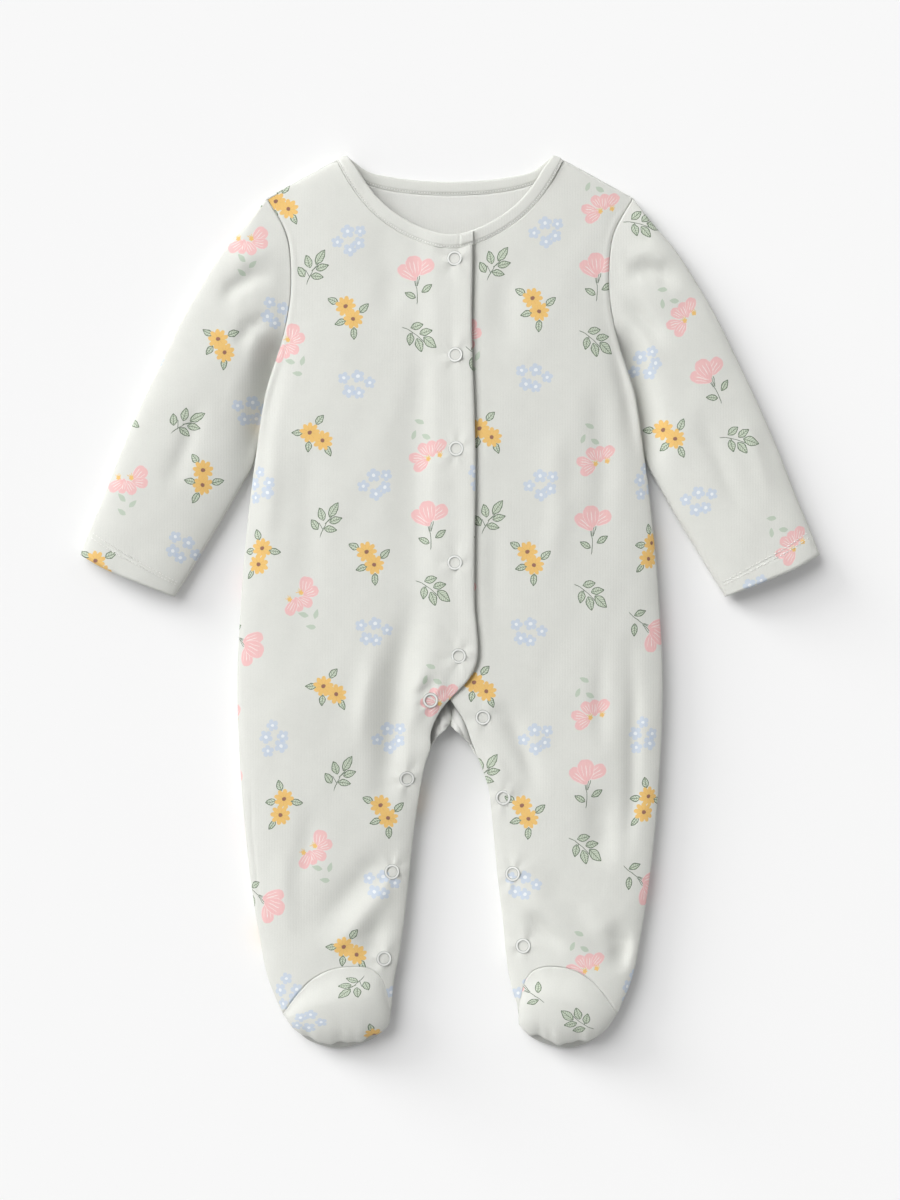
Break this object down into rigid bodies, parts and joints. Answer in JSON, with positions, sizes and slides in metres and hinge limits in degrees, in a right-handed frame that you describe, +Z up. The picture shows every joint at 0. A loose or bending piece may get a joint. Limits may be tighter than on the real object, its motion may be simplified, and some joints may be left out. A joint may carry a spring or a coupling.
{
  "type": "footed baby sleepsuit",
  "caption": "Long-sleeved footed baby sleepsuit with a bound round neck and ring snaps down the front and inner legs, laid flat.",
  "frame": {"origin": "under the middle of the garment, on the surface it lies on", "axes": "+X to the wearer's left, +Y from the feet to the neck, +Z up, out of the front"},
  "size_m": [0.457, 0.5532, 0.0239],
  "materials": {
    "jersey": "pale mint-grey cotton jersey with a scattered print of small flowers and leaf sprigs",
    "neck_binding": "plain binding of the same jersey, cover-stitched",
    "sole_jersey": "plain jersey",
    "snap_enamel": "white enamelled open ring snap"
  },
  "bodies": {
    "root": {"front_right": "jersey", "front_left": "jersey", "back": "jersey", "sleeve_right": "jersey", "sleeve_left": "jersey", "neckband": "neck_binding", "toe_cap_right": "jersey", "toe_cap_left": "jersey", "sole_right": "sole_jersey", "sole_left": "sole_jersey", "snap_neck": "snap_enamel", "snap_chest": "snap_enamel", "snap_waist_top": "snap_enamel", "snap_waist": "snap_enamel", "snap_belly": "snap_enamel", "snap_crotch_right": "snap_enamel", "snap_crotch_left": "snap_enamel", "snap_thigh_right": "snap_enamel", "snap_knee_right": "snap_enamel", "snap_ankle_right": "snap_enamel", "snap_thigh_left": "snap_enamel", "snap_knee_left": "snap_enamel", "snap_ankle_left": "snap_enamel"}
  },
  "joints": []
}
